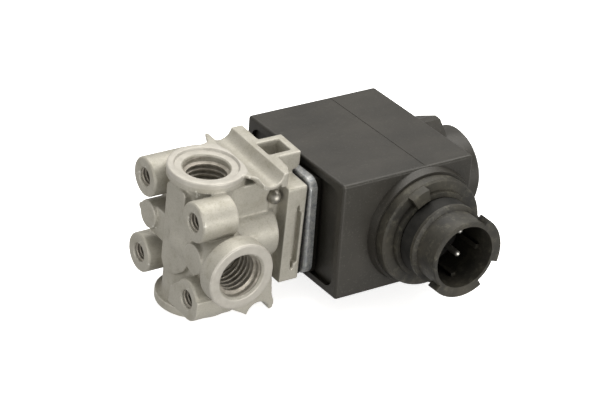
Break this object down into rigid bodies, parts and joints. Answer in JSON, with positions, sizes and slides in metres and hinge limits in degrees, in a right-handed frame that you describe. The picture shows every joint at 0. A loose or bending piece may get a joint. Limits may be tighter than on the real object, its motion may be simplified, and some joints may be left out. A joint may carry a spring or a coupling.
{
  "type": "solenoid directional valve",
  "caption": "Pneumatic solenoid valve: die-cast body with threaded ports and mounting bosses, square black coil with a bayonet plug socket and a vented rear cap.",
  "frame": {"origin": "on the valve axis, in the plane of the four mounting boss faces", "axes": "+X along the valve axis towards the rear cap of the coil, +Z out of the top port, -Y out of the side port and towards the plug socket"},
  "size_m": [0.0917, 0.0662, 0.0408],
  "materials": {
    "die_cast": "matt die-cast",
    "zinc_steel": "bright zinc plated",
    "stainless": "drawn",
    "magnet_steel": "turned",
    "brass": "turned",
    "spring_steel": "drawn wire",
    "rubber": "matt",
    "black_plastic": "moulded, semi-matt",
    "shell_plastic": "moulded glass-filled",
    "carrier_plastic": "moulded",
    "bobbin_plastic": "moulded",
    "copper": "enamelled wire",
    "contact_metal": "silver plated",
    "sintered": "sintered bronze"
  },
  "bodies": {
    "valve": {"valve_body": "die_cast", "sealing_ball": "magnet_steel", "inlet_seat": "brass", "body_seal": "rubber", "guide_tube": "stainless", "tube_collar": "brass", "flange_gasket": "rubber", "fixed_core": "magnet_steel", "exhaust_seat": "brass", "spring_washer": "spring_steel", "retaining_nut": "zinc_steel"},
    "armature": {"armature": "magnet_steel", "inlet_seal": "rubber", "exhaust_seal": "rubber", "return_spring": "spring_steel"},
    "coil": {"yoke_plate": "zinc_steel", "yoke_frame": "zinc_steel", "bobbin": "bobbin_plastic", "winding": "copper", "coil_housing": "black_plastic", "connector_shell": "shell_plastic", "connector_seal": "rubber", "contact_carrier": "carrier_plastic", "contact_pins": "contact_metal", "terminal_leads": "copper", "exhaust_cap": "black_plastic", "exhaust_filter": "sintered", "cap_seal": "rubber"}
  },
  "joints": [
    {"name": "armature_slide", "type": "slide", "parent": "valve", "child": "armature", "axis": [1, 0, 0], "range_m": [0, 0.001], "stiffness_N_per_m": 400, "springref_m": -0.004, "deforming": ["return_spring"]},
    {"name": "coil_swivel", "type": "hinge", "parent": "valve", "child": "coil", "pos_m": [0.055, 0, 0], "axis": [1, 0, 0], "range_deg": [-3.5, 10.4]}
  ]
}
